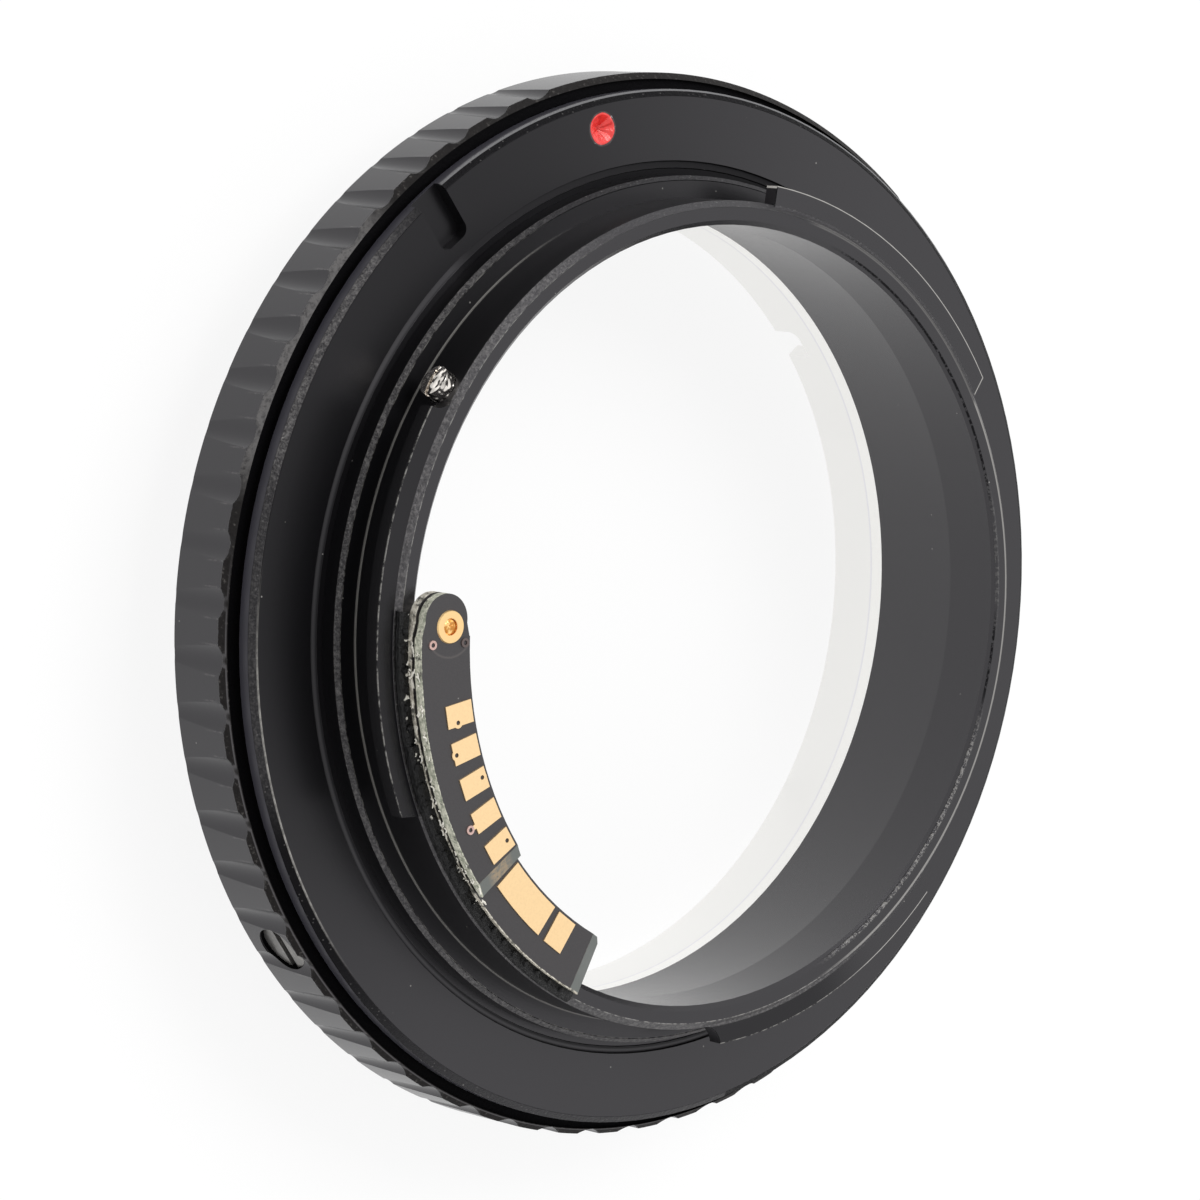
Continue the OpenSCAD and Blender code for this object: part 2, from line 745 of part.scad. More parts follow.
// The hole for the eyelet's barrel.
module eyelet_hole(z0, z1) {
    rotate([0, 0, eyelet_a])
        translate([eyelet_at, 0, z0 - cut])
            cylinder(r = eyelet_hole_r + eyelet_wall + thread_fit, h = z1 - z0 + 2 * cut);
}

module upper_board() {
    color([0.24, 0.23, 0.23])
        difference() {
            round_board(0, upper_end_a, upper_z, pads_z);
            end_bevel(upper_end_a, upper_z);
            eyelet_hole(upper_z, pads_z);
        }
}

module board_bond() {
    color([0.72, 0.72, 0.68])
        difference() {
            round_board(bond_in, upper_end_a, bond_z, upper_z);
            eyelet_hole(bond_z, upper_z);
        }
}

module eyelet() {
    color([0.62, 0.45, 0.25])
        rotate([0, 0, eyelet_a])
            translate([eyelet_at, 0, 0])
                rotate_extrude()
                    polygon([
                        [eyelet_hole_r, lower_z],
                        [eyelet_hole_r + eyelet_wall, lower_z],
                        [eyelet_hole_r + eyelet_wall, pads_z],
                        [eyelet_rim_r, pads_z],
                        [eyelet_rim_r - 0.05, pads_z + eyelet_rim_t],
                        [eyelet_hole_r + 0.04, pads_z + eyelet_rim_t],
                        [eyelet_hole_r, pads_z + eyelet_rim_t - 0.04]
                    ]);
}

// Height of the glue's crest and its profile against the boards' edge.
module glue_run(a0, a1, height) {
    rotate([0, 0, a0])
        rotate_extrude(angle = a1 - a0)
            polygon([
                [board_out_r, neck_top],
                [neck_r - neck_bevel, neck_top],
                [neck_r - neck_bevel / 3, neck_top - neck_bevel * 2 / 3],
                [neck_r, neck_top],
                [neck_r - 0.08, neck_top + height * 0.55],
                [neck_r - 0.3, neck_top + height * 0.9],
                [board_out_r, neck_top + height]
            ]);
}

// Beads of glue that stand out unevenly along the run.
module glue_lumps(a0, a1, r) {
    for (a = [a0 + lump_a : lump_a : a1 - lump_a / 2]) {
        lump_at = board_out_r + r + 0.05 + 0.03 * sin(a * 37);
        lump_z = neck_top + r + 0.05 + 0.03 * sin(a * 53);
        rotate([0, 0, a]) translate([lump_at, 0, lump_z]) sphere(r = r, $fn = 24);
    }
}

module glue_bead() {
    drop_a = upper_end_a - 1.5 * glue_short_a;
    last_a = lower_end_a - glue_short_a;
    color([0.05, 0.05, 0.05])
        union() {
            glue_run(eyelet_a - glue_lead_a, glue_rise_a, glue_low_h);
            glue_run(glue_rise_a - 0.4, drop_a, glue_h);
            glue_run(drop_a - 0.4, last_a, glue_low_h);
            glue_lumps(eyelet_a - glue_lead_a, glue_rise_a, lump_r * 0.8);
            glue_lumps(glue_rise_a, drop_a, lump_r);
            glue_lumps(drop_a, last_a, lump_r * 0.8);
        }
}

// One flat pad with a plated hole near its inner or outer end.
module contact(i) {
    color([0.95, 0.78, 0.45])
        rotate([0, 0, pad_a + pad_pitch * i])
            translate([pad_at, 0, pads_z])
                difference() {
                    union() {
                        translate([-pad_l / 2, -pad_w / 2, 0]) cube([pad_l, pad_w, pad_t]);
                        if (i != 3)
                            translate([hole_out[i], hole_side[i], 0])
                                cylinder(r = via_r + hole_rim, h = pad_t);
                        else
                            translate([pad_l / 2 - 0.2, tab_side - via_w, 0])
                                cube([tab_out + 0.2, 2 * via_w, pad_t]);
                    }
                    if (i != 3)
                        translate([hole_out[i], hole_side[i], -cut])
                            cylinder(r = via_r, h = pad_t + 2 * cut);
                    else
                        translate([pad_l / 2 + tab_out, tab_side, -cut])
                            cylinder(r = via_r + via_w, h = pad_t + 2 * cut);
                }
}

module wide_contact() {
    color([0.95, 0.78, 0.45])
        sector(pad_at - pad_l / 2, pad_at + pad_l / 2 + 0.1, wide_start_a, wide_end_a, bond_z, bond_z + pad_t);
}

module end_contact() {
    color([0.95, 0.78, 0.45])
        rotate([0, 0, end_pad_a])
            translate([pad_at - pad_l / 2, -end_pad_w / 2, bond_z])
                cube([pad_l + 0.1, end_pad_w, pad_t]);
}

// A small plated ring on the upper board.
module via(a, r) {
    rotate([0, 0, a])
        translate([r, 0, 0])
            ring(via_r, via_r + via_w, pads_z, pads_z + pad_t);
}

module via_rings() {
    color([0.85, 0.55, 0.45]) {
        via(eyelet_a + 2.5, board_out_r - 0.85);
        via(eyelet_a + 2.5, board_in_r + 0.4);
        rotate([0, 0, pad_a + pad_pitch * 3]) translate([pad_at + pad_l / 2 + tab_out, tab_side, 0]) via(0, 0);
    }
}

mount_body();
stop_screw();
index_dot();
grip_ring();
set_screw(0);  // set_screw_1
set_screw(1);  // set_screw_2
set_screw(2);  // set_screw_3
drive_ring();
aperture_lever();
lever_screw();
lens_mount_ring();
ring_screw(0);  // mount_ring_screw_1
ring_screw(1);  // mount_ring_screw_2
ring_screw(2);  // mount_ring_screw_3
lens_index_dot();
lower_board();
upper_board();
board_bond();
glue_bead();
eyelet();
contact(0);  // contact_1
contact(1);  // contact_2
contact(2);  // contact_3
contact(3);  // contact_4
contact(4);  // contact_5
wide_contact();
end_contact();
via_rings();
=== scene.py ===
"""Dresses the lens mount adapter: finishes, wear, solder and glue details, studio and camera."""

import math

import bmesh
import bpy
from mathutils import Matrix, Vector, noise


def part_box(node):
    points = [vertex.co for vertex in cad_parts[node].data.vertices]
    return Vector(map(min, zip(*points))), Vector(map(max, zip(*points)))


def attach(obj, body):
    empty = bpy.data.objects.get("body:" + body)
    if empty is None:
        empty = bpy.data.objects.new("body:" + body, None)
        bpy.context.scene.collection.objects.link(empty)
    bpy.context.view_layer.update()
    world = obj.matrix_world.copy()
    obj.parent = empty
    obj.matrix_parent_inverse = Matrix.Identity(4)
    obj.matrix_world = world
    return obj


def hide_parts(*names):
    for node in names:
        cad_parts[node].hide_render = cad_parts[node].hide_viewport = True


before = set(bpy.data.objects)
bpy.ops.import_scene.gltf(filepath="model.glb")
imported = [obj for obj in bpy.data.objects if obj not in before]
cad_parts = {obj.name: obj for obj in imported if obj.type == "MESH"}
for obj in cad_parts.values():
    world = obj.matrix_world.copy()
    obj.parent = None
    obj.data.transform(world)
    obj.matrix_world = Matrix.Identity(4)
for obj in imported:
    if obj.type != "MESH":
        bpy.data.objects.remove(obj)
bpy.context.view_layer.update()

MM = 0.001


def top_of(node):
    """Height of a node's highest point, in millimetres."""
    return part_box(node)[1].z / MM


def foot_of(node):
    """Height of a node's lowest point, in millimetres."""
    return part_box(node)[0].z / MM


def reach_of(node):
    """Largest distance of a round node from the axis, in millimetres."""
    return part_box(node)[1].x / MM


# Heights and radii in millimetres that the finishes follow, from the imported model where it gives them.

# Flange and register boss
FLANGE_FACE = top_of("index_dot")
FLANGE_R = reach_of("mount_body")
FLANGE_BEVEL = 0.41
FLANGE_BEVEL_DROP = 0.32
BOSS_R = 27.2
BOSS_TOP = FLANGE_FACE + 1.3
BOSS_BEVEL = 0.28
GROOVE_W = 0.45
BAND_W = 0.43

# Neck and lugs
NECK_TOP = foot_of("lower_board")
NECK_R = 25.8
NECK_BEVEL = 0.38
BORE_R = 24.3
LUG_TOP = NECK_TOP - 0.25
LUG_R = 27.0
LUG_START = -69.4
LUG_SLANT = 1.2
LUG_END = -20.4

# Boards, eyelet and index dot
LOWER_TOP = foot_of("board_bond")
UPPER_TOP = foot_of("contact_1")
BOARD_OUT = 25.1
BOARD_IN = 21.4
UPPER_MASK_END = 114.3
LOWER_MASK_END = 139.5
EYELET_ANGLE = 76.3
EYELET_R = 22.95
EYELET_X = EYELET_R * math.cos(math.radians(EYELET_ANGLE))
EYELET_Y = EYELET_R * math.sin(math.radians(EYELET_ANGLE))
DOT_AT = FLANGE_R - 1.9

# Lens ring
PLATE_REAR = foot_of("mount_ring_screw_1")

# Grip, its flutes and its screw holes
GRIP_R = reach_of("grip_ring")
GRIP_FRONT = top_of("grip_ring")
GRIP_REAR = foot_of("grip_ring")
GRIP_IN_R = 31.62
GRIP_RIM_R = 33.1
GRIP_RECESS_Z = 9.0
GRIP_CHAMFER = 0.38
GRIP_REAR_BEVEL = 0.08
FLUTES = 62
FLUTE_START = 5.4
PLAIN_FLUTES = 9
FLUTE_R = 1.4
FLUTE_DEPTH = 0.37
FLUTE_REAR_DEPTH = 0.07
SET_SCREWS = 3
OPEN_SET_HOLES = 2
SET_A = 114.0
SET_Z = 7.3
SET_R = 1.6

# How soft the edge of a mask is, and how far a mask reaches past the surface that it ends on.
SOFT = 0.03
FINE = 0.015
PAST = 0.02
CLEAR = 0.1

# Colours that more than one finish uses
BLACK = (0.0036, 0.0035, 0.0041)
PALE = (0.34, 0.33, 0.31)
ANODISE_TINT = (0.97, 0.945, 1.0)


# Finishes


class Value:
    """A number that varies over a surface, so that sums on it read as usual."""

    def __init__(self, finish, socket):
        self.finish = finish
        self.socket = socket

    def __add__(self, other):
        return self.finish.sum("ADD", self, other)

    def __radd__(self, other):
        return self.finish.sum("ADD", other, self)

    def __sub__(self, other):
        return self.finish.sum("SUBTRACT", self, other)

    def __rsub__(self, other):
        return self.finish.sum("SUBTRACT", other, self)

    def __mul__(self, other):
        return self.finish.sum("MULTIPLY", self, other)

    def __truediv__(self, other):
        return self.finish.sum("DIVIDE", self, other)


class Finish:
    """One material, with short calls for the masks and patterns that it is built from."""

    def __init__(self, name):
        self.material = bpy.data.materials.new(name)
        self.material.use_nodes = True
        tree = self.material.node_tree
        self.nodes, self.links = tree.nodes, tree.links
        self.nodes.clear()
        self.shader = self.nodes.new("ShaderNodeBsdfPrincipled")
        output = self.nodes.new("ShaderNodeOutputMaterial")
        self.links.new(self.shader.outputs[0], output.inputs["Surface"])
        place = self.nodes.new("ShaderNodeTexCoord")
        to_mm = self.nodes.new("ShaderNodeVectorMath")
        to_mm.operation = "SCALE"
        to_mm.inputs["Scale"].default_value = 1 / MM
        self.links.new(place.outputs["Object"], to_mm.inputs[0])
        self.place = to_mm.outputs[0]
        split = self.nodes.new("ShaderNodeSeparateXYZ")
        self.links.new(self.place, split.inputs[0])
        self.x, self.y, self.z = (Value(self, socket) for socket in split.outputs)
        self.radius = self.length(self.x, self.y)
        self.angle = self.sum("ARCTAN2", self.y, self.x) * (180 / math.pi)

    def feed(self, socket, value):
        """Links a socket, or sets it where the value is a plain one."""
        if isinstance(value, Value):
            value = value.socket
        if isinstance(value, bpy.types.NodeSocket):
            self.links.new(value, socket)
        elif isinstance(value, tuple) and len(value) == 3 and socket.type == "RGBA":
            socket.default_value = (*value, 1)
        else:
            socket.default_value = value

    def sum(self, operation, a, b=0.0):
        """A sum of one or two values."""
        node = self.nodes.new("ShaderNodeMath")
        node.operation = operation
        for socket, value in zip(node.inputs, (a, b)):
            self.feed(socket, value)
        return Value(self, node.outputs[0])

    def length(self, a, b):
        """The distance that two steps at a right angle make."""
        return self.sum("SQRT", a * a + b * b)

    def rise(self, value, low, high, bottom=0.0, top=1.0):
        """Smooth step of a value: bottom up to low, and top from high on."""
        node = self.nodes.new("ShaderNodeMapRange")
        node.interpolation_type = "SMOOTHSTEP"
        for socket, number in zip(node.inputs, (value, low, high, bottom, top)):
            self.feed(socket, number)
        return Value(self, node.outputs[0])

    def fall(self, value, low, high):
        """Smooth step of a value: 1 up to low, and 0 from high on."""
        return self.rise(value, low, high, 1.0, 0.0)

    def band(self, value, low, high, soft):
        """1 where a value lies between low and high, with soft edges."""
        return self.rise(value, low - soft, low + soft) * self.fall(value, high - soft, high + soft)

    def zone(self, radius, height, turn=None):
        """1 inside limits of radius, height and turn, each given as low, high and soft."""
        mask = self.band(self.radius, *radius) * self.band(self.z, *height)
        return mask if turn is None else mask * self.band(self.angle, *turn)

    def both(self, *masks):
        """Where every mask holds."""
        total = masks[0]
        for mask in masks[1:]:
            total = total * mask
        return total

    def either(self, *masks):
        """Where any mask holds."""
        total = masks[0]
        for mask in masks[1:]:
            total = self.sum("MAXIMUM", total, mask)
        return total

    def noise(self, per_mm, detail=2.0, rough=0.5):
        """Fine noise, with so many grains to the millimetre."""
        node = self.nodes.new("ShaderNodeTexNoise")
        self.links.new(self.place, node.inputs["Vector"])
        node.inputs["Scale"].default_value = per_mm
        node.inputs["Detail"].default_value = detail
        node.inputs["Roughness"].default_value = rough
        return Value(self, node.outputs["Fac"])

    def turning_marks(self, across, around, along):
        """Noise on radius, turn and height, so that it follows the turning marks."""
        join = self.nodes.new("ShaderNodeCombineXYZ")
        parts = (self.radius * across, self.angle * around, self.z * along)
        for socket, part in zip(join.inputs, parts):
            self.feed(socket, part)
        node = self.nodes.new("ShaderNodeTexNoise")
        self.links.new(join.outputs[0], node.inputs["Vector"])
        node.inputs["Scale"].default_value = 1.0
        node.inputs["Detail"].default_value = 2.0
        return Value(self, node.outputs["Fac"])

    def specks(self, per_mm, size, share):
        """Sparse round specks: size in millimetres, and the share of cells that hold one."""
        node = self.nodes.new("ShaderNodeTexVoronoi")
        self.links.new(self.place, node.inputs["Vector"])
        node.inputs["Scale"].default_value = per_mm
        speck = self.fall(node.outputs["Distance"], size * per_mm * 0.5, size * per_mm)
        split = self.nodes.new("ShaderNodeSeparateColor")
        self.links.new(node.outputs["Color"], split.inputs[0])
        return speck * self.sum("LESS_THAN", split.outputs[0], share)

    def mix(self, share, a, b):
        """Colour a where share is 0 and b where it is 1."""
        node = self.nodes.new("ShaderNodeMix")
        node.data_type = "RGBA"
        node.clamp_factor = True
        self.feed(node.inputs["Factor"], share)
        self.feed(node.inputs[6], a)
        self.feed(node.inputs[7], b)
        return node.outputs[2]

    def layered(self, base, layers):
        """A base colour under layers, each given as its share and its tone."""
        colour = base
        for share, tone in layers:
            colour = self.mix(share, colour, tone)
        return colour

    def bump(self, height, depth, strength=1.0, under=None):
        """Relief of a height from 0 to 1, so many millimetres deep."""
        node = self.nodes.new("ShaderNodeBump")
        node.inputs["Strength"].default_value = strength
        node.inputs["Distance"].default_value = depth * MM
        self.feed(node.inputs["Height"], height)
        if under is not None:
            self.links.new(under, node.inputs["Normal"])
        return node.outputs[0]

    def facing_up(self):
        """1 on faces that look up, 0 on walls."""
        node = self.nodes.new("ShaderNodeNewGeometry")
        split = self.nodes.new("ShaderNodeSeparateXYZ")
        self.links.new(node.outputs["True Normal"], split.inputs[0])
        return self.rise(split.outputs[2], 0.5, 0.7)

    def set(self, **sockets):
        """Sets or links the shader's sockets, by their names with _ for a space."""
        for name, value in sockets.items():
            self.feed(self.shader.inputs[name.replace("_", " ")], value)
        return self.material


class Masks:
    """The masks of one finish, kept by name."""


def body_masks(f):
    """Masks of the body's turned edges and of the lines along them. Turns are degrees from the dot."""
    m = Masks()
    m.coarse = f.noise(4.2, 3.0, 0.7)
    m.broken = f.rise(f.noise(2.2, 3.0, 0.7), 0.38, 0.62)
    m.near = f.either(f.rise(f.angle, 8.0, 28.0), f.fall(f.angle, -172.0, -158.0))
    m.far = 1.0 - m.near
    above_neck = (NECK_TOP - CLEAR, NECK_TOP + CLEAR, PAST)

    # Bevels, which are rough and wear bright where they are rubbed
    m.bevel = f.zone(
        (FLANGE_R - FLANGE_BEVEL, FLANGE_R + 0.05, SOFT),
        (FLANGE_FACE - FLANGE_BEVEL_DROP, FLANGE_FACE + 0.05, PAST),
    )
    boss = f.zone(
        (BOSS_R - BOSS_BEVEL, BOSS_R + PAST, SOFT),
        (BOSS_TOP - BOSS_BEVEL, BOSS_TOP + PAST, SOFT),
    )
    neck = f.zone((NECK_R - 0.4, NECK_R + PAST, SOFT), (NECK_TOP - 0.39, NECK_TOP + CLEAR, SOFT))
    m.rough = f.either(m.bevel, boss, neck)
    m.rubbed = f.either(f.band(f.angle, 33.0, 62.0, 4.0), f.band(f.angle, 28.0, 96.0, 6.0) * 0.3)
    m.wear = f.either(m.bevel * m.rubbed, f.either(boss, neck) * (0.06 + m.near * 0.8))

    # Thin light lines along the lugs, the neck, the boss and the flange: partly worn edges, partly painted
    # highlights
    lug = f.zone((LUG_R - 0.06, LUG_R + PAST, FINE), (LUG_TOP - 0.07, LUG_TOP + PAST, FINE))
    m.lug = f.both(lug, f.either(m.broken, m.far), 1.0 - m.near * 0.45)
    # Painted highlight: the light line on the neck's crown, kept to the far side
    crown = f.zone((NECK_R - 0.53, NECK_R - 0.3, PAST), above_neck)
    crown_turns = f.either(f.fall(f.angle, -72.0, -70.0), f.fall(f.angle, -30.0, -26.0) * 0.3)
    m.crown = f.both(crown, m.far, crown_turns)
    start = LUG_START - (LUG_R - f.radius) * (LUG_SLANT / (LUG_R - NECK_R))
    at_start = f.band(f.angle - start, -0.05, 0.16, 0.05)
    lug_edge = f.zone((NECK_R, LUG_R + PAST, PAST), (LUG_TOP - CLEAR, LUG_TOP + PAST, PAST))
    m.lug_start = at_start * lug_edge
    foot = f.zone((NECK_R - PAST, NECK_R + 0.07, FINE), (BOSS_TOP - PAST, BOSS_TOP + 0.12, PAST))
    m.foot = foot * m.near
    neck_line = f.zone((NECK_R - 0.45, NECK_R - 0.39, FINE), (NECK_TOP - PAST, NECK_TOP + CLEAR, 0.01))
    boss_line = f.zone((BOSS_R - 0.32, BOSS_R - 0.26, FINE), (BOSS_TOP - SOFT, BOSS_TOP + PAST, 0.01))
    m.inner_lines = f.both(f.either(neck_line, boss_line), m.broken, m.near)
    rim = f.zone(
        (FLANGE_R - 0.5, FLANGE_R - 0.38, PAST),
        (FLANGE_FACE - 0.04, FLANGE_FACE + CLEAR, 0.01),
        (78.0, 112.0, 9.0),
    )
    m.rim = rim * (0.45 + m.broken * 0.35)
    # Painted highlight: a light line along the flange's outer edge, on the far turns only
    m.outer = f.zone(
        (FLANGE_R - 0.115, FLANGE_R + 0.05, FINE),
        (FLANGE_FACE - 0.42, FLANGE_FACE - 0.19, SOFT),
        (-60.0, 24.0, 2.0),
    )
    m.lug_end = f.zone(
        (NECK_R + 0.05, LUG_R, SOFT),
        (LUG_TOP - 1.1, LUG_TOP - 0.06, SOFT),
        (LUG_END - 0.2, LUG_END + 0.15, 0.04),
    )

    # The bore's mouth, the turned band outside the groove and the flange's wall
    # Painted glints: the mouth is lighter, with coarse specks, on the turns where it catches the light
    mouth = f.zone((BORE_R + 0.16, BORE_R + 0.4, SOFT), (NECK_TOP - 0.13, NECK_TOP + CLEAR, SOFT))
    glint_turns = f.either(f.band(f.angle, -165.0, -122.0, 5.0), f.band(f.angle, -104.0, -86.0, 6.0) * 0.3)
    m.mouth = mouth * glint_turns
    # Painted shade: the mouth's inner edge reflects less on these turns
    dark_turns = f.either(f.band(f.angle, -118.0, -105.0, 3.0), f.band(f.angle, -86.0, -35.0, 4.0))
    inner_edge = f.fall(f.radius, BORE_R + 0.26, BORE_R + 0.3)
    m.black_mouth = f.both(mouth, inner_edge, dark_turns, f.fall(m.coarse, 0.5, 0.62))
    band_in = BOSS_R + GROOVE_W
    m.lip = f.zone((band_in, band_in + BAND_W, PAST), (FLANGE_FACE - 0.16, FLANGE_FACE + PAST, PAST))
    m.lip_crest = f.band(f.radius, band_in + 0.17, band_in + 0.29, 0.14)
    # Painted light: the flange's wall is painted lighter than the black face, standing in for the light on it
    m.wall = f.zone(
        (FLANGE_R - FINE, FLANGE_R + 0.05, 0.005),
        (FLANGE_FACE - 1.3, FLANGE_FACE - 0.33, SOFT),
    )
    below_crown = f.fall(f.z, NECK_TOP - NECK_BEVEL, NECK_TOP - NECK_BEVEL + PAST)
    m.low = f.rise(f.radius, NECK_R - 0.06, NECK_R - SOFT) * below_crown
    return m


def body_colour(f, m, grain):
    """The body's black, its worn edges, its light lines, its painted highlights, painted light on the
    flange's wall, and its dust.
    """
    # Light lines: worn edges and painted edge highlights
    worn_and_highlight_lines = f.either(m.lug, m.rim, m.inner_lines * 0.6, m.crown * 0.6, m.lug_start, m.foot * 0.45)
    # Painted highlight along the lip's crest, from turn 24 on
    lip_highlight = f.both(m.lip, m.lip_crest, f.rise(f.angle, 24.0, 50.0), 0.8)
    lug_end_line = m.lug_end * f.rise(f.radius, LUG_R - 0.16, LUG_R - 0.12)
    return f.layered(BLACK, (
        (m.wear * f.rise(grain, 0.3, 0.7), (0.05, 0.048, 0.048)),
        (m.wear * f.rise(m.coarse, 0.42, 0.7), (0.105, 0.101, 0.099)),
        (f.both(m.rough, f.specks(4.0, 0.07, 0.4), 0.4), (0.135, 0.13, 0.128)),
        (m.wall, (0.03, 0.029, 0.036)),
        (worn_and_highlight_lines, PALE),
        (m.outer * 0.6, (0.2, 0.2, 0.205)),
        (lip_highlight, (0.045, 0.044, 0.046)),
        (m.mouth * f.rise(m.coarse, 0.46, 0.6), (0.17, 0.165, 0.155)),
        (m.lug_end, (0.022, 0.021, 0.023)),
        (lug_end_line, (0.6, 0.58, 0.55)),
        (f.specks(0.8, 0.07, 0.22) * 0.6, PALE),
    ))


def body_sheen(f, m):
    """How strongly the body reflects: less on its black edges, with painted shade by the neck, on the
    groove's far turns, on the near lug faces and in the bore's mouth.
    """
    # Painted shade: the reflection is lowered outside the neck, most from turn 25 to 75
    shade = f.both(m.low, f.rise(f.angle, -50.0, 25.0), f.fall(f.angle, 75.0, 140.0), 0.6)
    black_edge = f.both(m.bevel, f.rise(f.angle, 112.0, 150.0, 0.9, 0.25) - m.rubbed, 1.0 - m.outer)
    lug_face = f.zone((NECK_R + 0.01, LUG_R + PAST, PAST), (LUG_TOP - SOFT, LUG_TOP + SOFT, 0.01))
    by_groove = f.band(f.radius, BOSS_R - PAST, BOSS_R + GROOVE_W + BAND_W + PAST, PAST)
    far_turns = f.fall(f.angle, 24.0, 36.0) * f.rise(f.angle, -75.0, -40.0)
    on_flange = f.fall(f.z, FLANGE_FACE + PAST, FLANGE_FACE + 0.05)
    # Painted shade: the groove and its band reflect less on the far turns
    lip_painted_shade = f.both(by_groove, on_flange, far_turns, 0.85)
    # Painted shade: the lip reflects less off its crest, so that the crest reads as a highlight
    lip_shade = f.both(m.lip, 1.0 - m.lip_crest, 0.75)
    # Painted shade: the lug faces reflect less on the near side
    lug_shade = f.both(lug_face, m.near, 0.5)
    dull = f.either(shade, black_edge, lip_painted_shade, lug_shade, m.black_mouth * 0.85, lip_shade)
    return (1.0 - dull) * 0.55


def body_anodise():
    """Satin black anodise on the body, with turned faces and edges worn on the near side, painted highlights
    and painted shade.
    """
    f = Finish("body_anodise")
    m = body_masks(f)
    grain = f.noise(9.0, 3.0, 0.6)
    relief = f.bump(f.turning_marks(7.0, 0.02, 7.0), 0.006, 0.35)
    relief = f.bump(grain, 0.012, 0.35, relief)
    relief = f.bump(m.coarse * f.either(m.rough, m.mouth), 0.12, 0.9, relief)
    return f.set(
        Base_Color=body_colour(f, m, grain),
        Roughness=0.27 + f.either(m.low * 0.2, m.rough, m.lip) * 0.24,
        Normal=relief,
        Specular_IOR_Level=body_sheen(f, m),
        IOR=1.6,
        Specular_Tint=ANODISE_TINT,
    )


def set_screw_hole(f):
    """1 on the walls of the set-screw holes."""
    step = 360 / SET_SCREWS
    turn = f.sum("MODULO", f.angle + (360.0 - SET_A + step / 2), step) - step / 2
    across = f.radius * f.sum("SINE", turn * (math.pi / 180))
    from_axis = f.length(across, f.z - SET_Z)
    below_surface = f.fall(f.radius, GRIP_R - 0.14, GRIP_R - 0.1)
    return f.fall(from_axis, SET_R + 0.03, SET_R + 0.05) * below_surface


def grip_anodise():
    """Black anodise on the grip: soft lines along the flute edges, a dark rough chamfer, and painted shade in
    the screw holes and the gap under the rim.
    """
    f = Finish("grip_anodise")
    grain = f.noise(8.0, 3.0, 0.6)
    coarse = f.noise(3.6, 3.0, 0.7)
    pitch = 360 / FLUTES
    place_in_flute = f.sum("FRACT", (f.angle - FLUTE_START) / pitch + 10.5)
    off_middle = f.sum("ABSOLUTE", place_in_flute - 0.5) * pitch
    on_land = f.rise(f.radius, GRIP_R - 0.06, GRIP_R - 0.02)
    off_rear = f.rise(f.z, GRIP_REAR + 2.4, GRIP_REAR + 3.4)
    flute_edge = f.both(f.band(off_middle, 1.5, 1.66, 0.06), on_land, off_rear)
    chamfer_foot = GRIP_FRONT - GRIP_CHAMFER
    ragged_z = f.z + (coarse - 0.5) * 0.3
    chamfer = f.rise(ragged_z, chamfer_foot - 0.05, chamfer_foot + 0.03)
    chamfer = chamfer * f.rise(f.z, chamfer_foot - 0.06, chamfer_foot - 0.02)
    rubbed = chamfer * f.either(f.band(f.angle, 31.0, 62.0, 4.0), 0.06)
    inner_line = f.band(f.radius, GRIP_RIM_R + 0.05, GRIP_RIM_R + 0.11, 0.02)
    inner_line = inner_line * f.band(f.angle, 75.0, 175.0, 8.0)
    # Painted shade: the gap under the grip's rim is painted near black
    gap_shade = f.fall(f.radius, GRIP_RIM_R + 0.005, GRIP_RIM_R + 0.01)
    # Painted shade: the set-screw holes' walls are painted black and dull
    hole = set_screw_hole(f)
    colour = f.layered(BLACK, (
        (flute_edge * f.rise(coarse, 0.35, 0.65), (0.05, 0.047, 0.046)),
        (chamfer, (0.0045, 0.0036, 0.003)),
        (rubbed * f.rise(coarse, 0.2, 0.6), (0.085, 0.082, 0.079)),
        (chamfer * f.rise(coarse, 0.58, 0.7), (0.06, 0.056, 0.052)),
        (f.both(chamfer, inner_line, 0.6), (0.12, 0.115, 0.12)),
        (f.specks(0.7, 0.06, 0.12) * 0.5, PALE),
        (hole, (0.0006, 0.0006, 0.0006)),
        (gap_shade, (0.0022, 0.0021, 0.0026)),
    ))
    relief = f.bump(f.turning_marks(6.0, 0.5, 0.4), 0.008, 0.3)
    relief = f.bump(grain, 0.01, 0.3, relief)
    relief = f.bump(coarse * chamfer, 0.07, 0.8, relief)
    # Less reflection as painted shade in the holes and the gap, and on the rough chamfer away from its rubbed
    # turns
    dull = f.either(hole, gap_shade, chamfer * (0.85 - rubbed * 0.85))
    return f.set(
        Base_Color=colour,
        Roughness=0.25 + f.either(chamfer, hole) * 0.4,
        Normal=relief,
        Specular_IOR_Level=0.56 - dull * 0.52,
        IOR=1.55,
        Specular_Tint=ANODISE_TINT,
    )


def bright_plate():
    """Bright plated ring: a grainy turned rim over a smooth pale band."""
    f = Finish("bright_plate")
    sparkle = f.noise(6.0, 3.0, 0.75)
    rim = f.rise(f.z, PLATE_REAR - 0.04, PLATE_REAR + 0.04)
    line = f.band(f.z, PLATE_REAR - 0.07, PLATE_REAR + 0.07, 0.05)
    colour = f.mix(rim, (0.93, 0.925, 0.905), (0.99, 0.985, 0.96))
    colour = f.mix(rim * f.fall(sparkle, 0.2, 0.36), colour, (0.86, 0.85, 0.81))
    colour = f.mix(line * 0.6, colour, (0.78, 0.77, 0.84))
    relief = f.bump(sparkle * rim, 0.04, 0.5)
    relief = f.bump(f.turning_marks(5.0, 0.05, 8.0), 0.004, 0.4, relief)
    return f.set(Base_Color=colour, Roughness=0.3 + rim * 0.1, Normal=relief, Metallic=1.0)


